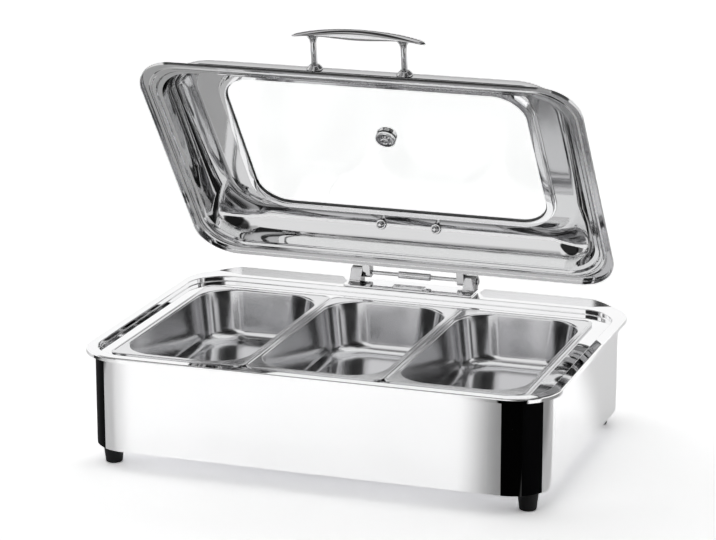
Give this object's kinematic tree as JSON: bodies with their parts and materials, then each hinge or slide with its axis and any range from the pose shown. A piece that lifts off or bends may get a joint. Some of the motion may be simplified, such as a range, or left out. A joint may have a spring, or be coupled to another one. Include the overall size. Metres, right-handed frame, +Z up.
{
  "type": "electric chafing dish",
  "caption": "Countertop food warmer: a steel housing with a heated water pan, lift-out food pans side by side and a rear-hinged lid with a glass window and a bar handle.",
  "frame": {"origin": "centre of the footprint at the underside of the feet, midway between the rim's front and the back of the hinge", "axes": "+Z up, +X along the length to the right as seen from the front, +Y towards the hinge"},
  "size_m": [0.604, 0.438, 0.5308],
  "materials": {
    "housing_steel": "mirror-polished stainless sheet",
    "frame_steel": "mirror-polished stainless pressing",
    "lid_steel": "mirror-polished stainless pressing",
    "pan_steel": "satin stainless, deep drawn",
    "cover_steel": "satin stainless sheet",
    "element_steel": "heat-tinted stainless tube",
    "hardware_steel": "polished stainless hinge parts and fasteners",
    "handle_steel": "bright chromed casting",
    "reflector_aluminium": "mill-finish aluminium sheet",
    "post_plastic": "black moulded corner post",
    "foot_rubber": "black moulded rubber",
    "seal_rubber": "black silicone sheet",
    "knob_plastic": "black moulded knob",
    "control_plastic": "black moulded housing",
    "lamp_lens": "red translucent lens",
    "block_ceramic": "glazed ceramic",
    "window_glass": "clear tempered glass"
  },
  "bodies": {
    "base": {"bottom_cover": "cover_steel", "corner_post_front_left": "post_plastic", "corner_post_front_right": "post_plastic", "corner_post_rear_left": "post_plastic", "corner_post_rear_right": "post_plastic", "foot_front_left": "foot_rubber", "foot_front_right": "foot_rubber", "foot_rear_left": "foot_rubber", "foot_rear_right": "foot_rubber", "front_panel": "housing_steel", "rear_panel": "housing_steel", "left_panel": "housing_steel", "right_panel": "housing_steel", "top_frame": "frame_steel", "water_pan": "pan_steel", "heating_element": "element_steel", "element_clamp_left": "element_steel", "element_clamp_right": "element_steel", "heat_reflector": "reflector_aluminium", "thermal_cutout": "control_plastic", "thermostat_body": "control_plastic", "indicator_lamp": "lamp_lens", "power_inlet": "control_plastic", "terminal_block": "block_ceramic", "hinge_base_plate": "hardware_steel", "hinge_cover_plate": "hardware_steel", "hinge_post_left": "hardware_steel", "hinge_post_right": "hardware_steel"},
    "lid": {"lid_shell": "lid_steel", "lid_glass": "window_glass", "glass_seal": "seal_rubber", "window_frame": "lid_steel", "vent_cap": "hardware_steel", "vent_bushing": "hardware_steel", "vent_nut": "hardware_steel", "hinge_shaft": "hardware_steel", "hinge_sleeve": "hardware_steel", "hinge_arm_left": "hardware_steel", "hinge_arm_right": "hardware_steel", "hinge_lid_plate": "hardware_steel", "hinge_bolt_left": "hardware_steel", "hinge_bolt_right": "hardware_steel", "hinge_cap_nut_left": "hardware_steel", "hinge_cap_nut_right": "hardware_steel", "handle_bar": "handle_steel", "handle_post_left": "handle_steel", "handle_post_right": "handle_steel", "handle_foot_left": "handle_steel", "handle_foot_right": "handle_steel", "handle_screw_left": "hardware_steel", "handle_screw_right": "hardware_steel"},
    "food_pan_left": {"food_pan_left": "pan_steel"},
    "food_pan_centre": {"food_pan_centre": "pan_steel"},
    "food_pan_right": {"food_pan_right": "pan_steel"},
    "knob": {"thermostat_knob": "knob_plastic", "thermostat_spindle": "hardware_steel"}
  },
  "joints": [
    {"name": "lid_hinge", "type": "hinge", "parent": "base", "child": "lid", "pos_m": [0, 0.211, 0.1605], "axis": [-1, 0, 0], "range_deg": [-52.6, 37.4]},
    {"name": "food_pan_left_lift", "type": "slide", "parent": "base", "child": "food_pan_left", "axis": [0, 0, 1], "range_m": [0, 0.08]},
    {"name": "food_pan_centre_lift", "type": "slide", "parent": "base", "child": "food_pan_centre", "axis": [0, 0, 1], "range_m": [0, 0.08]},
    {"name": "food_pan_right_lift", "type": "slide", "parent": "base", "child": "food_pan_right", "axis": [0, 0, 1], "range_m": [0, 0.08]},
    {"name": "knob_turn", "type": "hinge", "parent": "base", "child": "knob", "pos_m": [-0.15, 0.1947, 0.0868], "axis": [0, -1, 0], "range_deg": [0, 270]}
  ]
}
